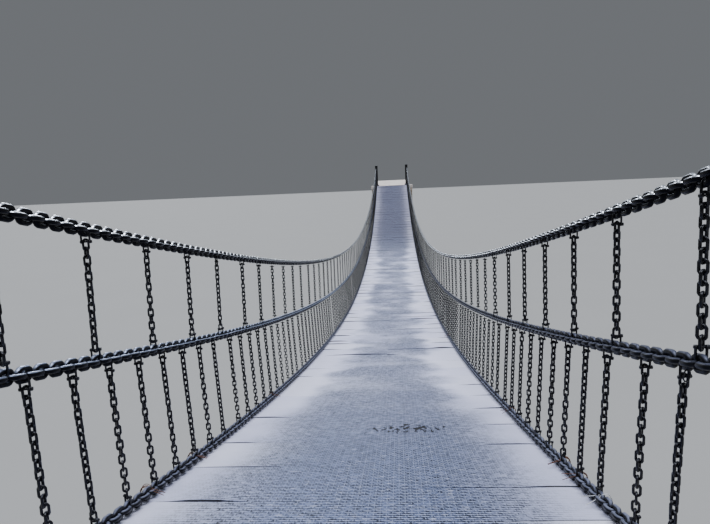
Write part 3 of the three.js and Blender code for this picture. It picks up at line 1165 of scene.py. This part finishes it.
TIES = (
    ("left", -14.95, "rusty"), ("left", -14.41, "rusty"), ("left", -12.60, "rusty"),
    ("right", -14.80, "rusty"), ("right", -14.56, "rusty"), ("right", -13.33, "rusty"),
    ("right", -15.07, "pale"),
)
OTHER_TIES = 14  # on each side, along the rest of the bridge
TIE_TURNS = {"rusty": 6, "pale": 2}
TIE = {"wire": 0.003, "turn": 0.023, "off": 0.014, "tail": 0.07}  # "off" the middle of the chain
SPARE_RING = (-15.61, 0.016, 0.0045)  # place along the bridge, radius, wire


def tie_wire(sign, y, turns):
    """Some turns of wire round a link's outer side and two bent ends that cross the chain."""
    wire, size, off, reach = TIE.values()
    parts = []
    for i in range(turns):
        lean = (math.pi / 2 + random.uniform(-0.2, 0.2), 0, random.uniform(-0.3, 0.3))
        ring = ring_shape("turn", (12, 4), size, wire, lean)
        parts.append(moved(ring, shift(sign * off, wire * i, random.uniform(-0.003, 0.003))))
    for i in range(2):
        tail = cylinder("tail", 5, wire / 2, reach)
        aim = turn(random.uniform(-35, 35), "Z")
        fall = turn(-sign * random.uniform(100, 112), "Y")
        parts.append(moved(tail, shift(0, 0.01 * i, off), aim, fall, shift(0, 0, reach / 2)))
    return moved(joined("tie", parts), shift(sign * EDGE_OFFSET, y, edge_centre(y)))


def tie_wires():
    wires = {"rusty": [], "pale": []}
    for side, y, kind in TIES:
        wires[kind].append(tie_wire(SIDES[side]["sign"], y, TIE_TURNS[kind]))
    for place in SIDES.values():
        for _ in range(OTHER_TIES):
            wires["rusty"].append(tie_wire(place["sign"], random.uniform(-12, 17.5), 2))
    finished(joined("rusty_tie_wires", wires["rusty"]), 60, RUSTY_WIRE, "chain")
    finished(joined("pale_tie_wire", wires["pale"]), 60, PALE_WIRE, "chain")


def spare_ring():
    y, radius, wire = SPARE_RING
    ring = ring_shape("spare_ring", (16, 6), radius, wire, (math.pi / 2, 0, 0.6))
    hang = mid_centre(y) - HEAVY["width"] / 2 - 0.012
    finished(moved(ring, shift(RAIL_OFFSET, y, hang)), 60, HANGER_PAINT, "chain")


for side_name, side_place in SIDES.items():
    side_chains(side_name, side_place)
load_chains()
all_hangers()
plate_rows()
bearers_and_clamps()
abutments()
landings()
posts()
anchor_beams()
tie_wires()
spare_ring()


# Camera, floor and light

CAMERA_PLACE = (0.168, -17.148, DECK_LOW + 2.986)
CAMERA_TURNS = (-0.07335, -0.14149, 0.04453)  # yaw, pitch and roll in radians
CAMERA_LENS = 36 * 580 / 710  # millimetres on a 36 mm sensor


def add_camera():
    yaw, pitch, roll = CAMERA_TURNS
    data = bpy.data.cameras.new("camera")
    data.lens = CAMERA_LENS
    data.sensor_width = 36
    data.clip_end = 500
    camera = in_scene("camera", data)
    turns = ((-yaw, "Z"), (math.pi / 2 + pitch, "X"), (-roll, "Z"))
    facing = combined(Matrix.Rotation(angle, 4, axis) for angle, axis in turns)
    camera.matrix_world = shift(*CAMERA_PLACE) @ facing
    bpy.context.scene.camera = camera


def add_floor():
    floor = moved(primitive("plane", "floor", size=400), shift(0, 0, -0.002))
    colors = rgb(0.265, 0.26, 0.255), rgb(0.28, 0.275, 0.27)
    floor.data.materials.append(plain_finish("pale floor", 0.3, 2.0, *colors, 0.85, specular=0.2))


# Soft lamps: strength, width in degrees, tilt from overhead towards the far end, and turn to a side.
SKY = (0.88, 0.93, 1.0)
LAMPS = (("overhead", 5.0, 44, 12, 14), ("wide sky", 0.4, 110, 0, 0), ("low sky ahead", 0.9, 24, -62, 22))


def add_light():
    world = bpy.data.worlds.new("soft sky")
    bpy.context.scene.world = world
    world.use_nodes = True
    background = world.node_tree.nodes["Background"]
    background.inputs["Color"].default_value = rgb(*SKY)
    background.inputs["Strength"].default_value = 0.18
    for name, energy, spread, tilt, aside in LAMPS:
        sun = bpy.data.lights.new(name, "SUN")
        sun.energy = energy
        sun.color = SKY
        sun.angle = math.radians(spread)
        in_scene(name, sun).rotation_euler = (math.radians(tilt), 0, math.radians(aside))


add_camera()
add_floor()
add_light()
